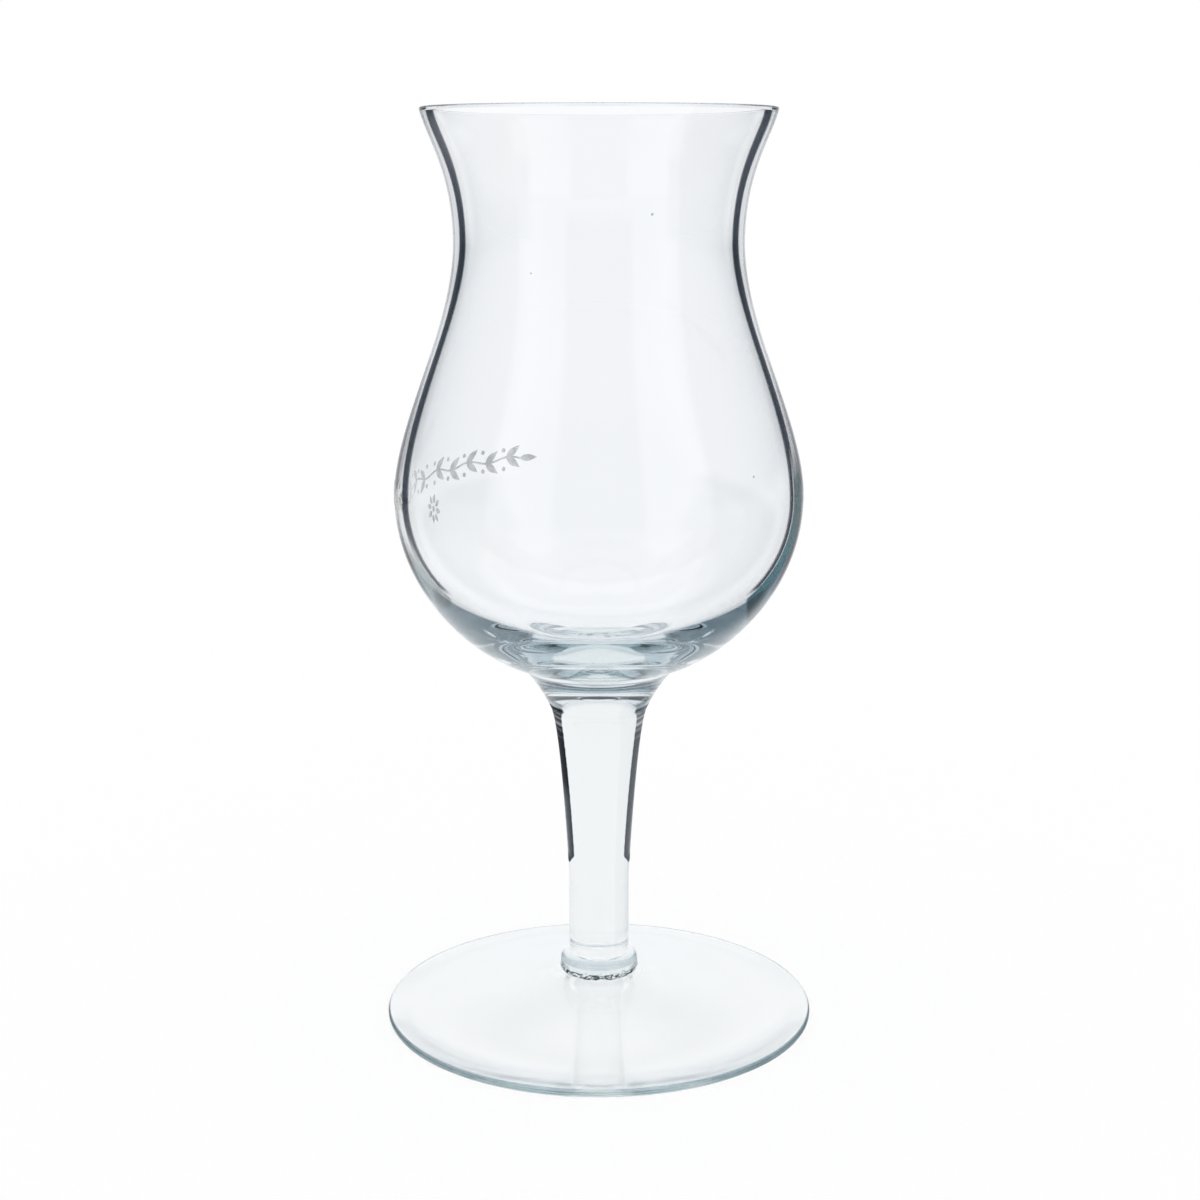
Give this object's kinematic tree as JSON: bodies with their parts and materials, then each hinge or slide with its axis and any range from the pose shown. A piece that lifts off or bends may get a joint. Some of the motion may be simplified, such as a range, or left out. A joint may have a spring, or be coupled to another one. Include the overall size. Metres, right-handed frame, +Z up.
{
  "type": "schnapps glass",
  "caption": "Clear tulip-shaped schnapps glass with a flared rim, narrow waist, round belly with a thick floor, solid stem, bead collar and shallow conical foot.",
  "frame": {"origin": "on the table, under the middle of the foot", "axes": "+Z up along the axis of the glass from the foot to the rim; the picture looks along +Y with +X to the right"},
  "size_m": [0.0622, 0.0622, 0.13],
  "materials": {
    "clear_glass": "fire-polished clear soda-lime glass with a faint blue-green tint in thick places",
    "enamel_print": "thin grey-white enamel garland, screen-printed on the back of the belly and fired on"
  },
  "bodies": {
    "root": {"foot": "clear_glass", "collar": "clear_glass", "stem": "clear_glass", "bowl": "clear_glass"}
  },
  "joints": []
}
